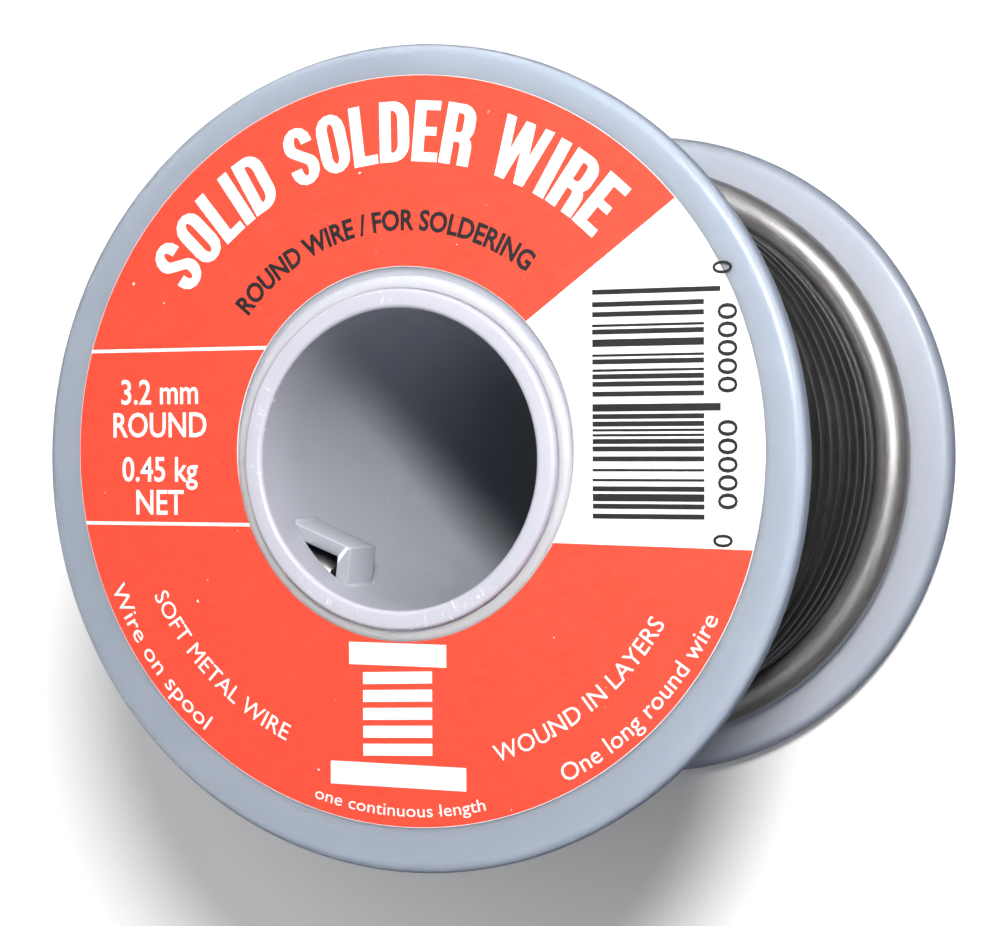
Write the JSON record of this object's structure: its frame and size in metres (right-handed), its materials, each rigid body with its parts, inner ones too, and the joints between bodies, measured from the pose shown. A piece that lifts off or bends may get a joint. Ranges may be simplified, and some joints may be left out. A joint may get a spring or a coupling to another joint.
{
  "type": "solder wire spool",
  "caption": "Two-flange moulded plastic spool with a paper ring label on its front face and wound full of round solder wire.",
  "frame": {"origin": "centre of the rear end, where the spool stands on the rear collar", "axes": "+Z along the spool's axis out of the labelled front face, +Y the label's upright direction, +X to the label's right"},
  "size_m": [0.059, 0.059, 0.0554],
  "materials": {
    "milky_plastic": "translucent milky white moulded plastic, satin",
    "label_paper": "matt coated paper, red-orange print with one white sector",
    "solder_metal": "drawn tin-lead wire, smooth dull silver-grey"
  },
  "bodies": {
    "root": {"front_flange": "milky_plastic", "rear_flange": "milky_plastic", "barrel": "milky_plastic", "front_label": "label_paper", "solder_winding": "solder_metal", "solder_start_tail": "solder_metal", "solder_outer_end": "solder_metal"}
  },
  "joints": []
}
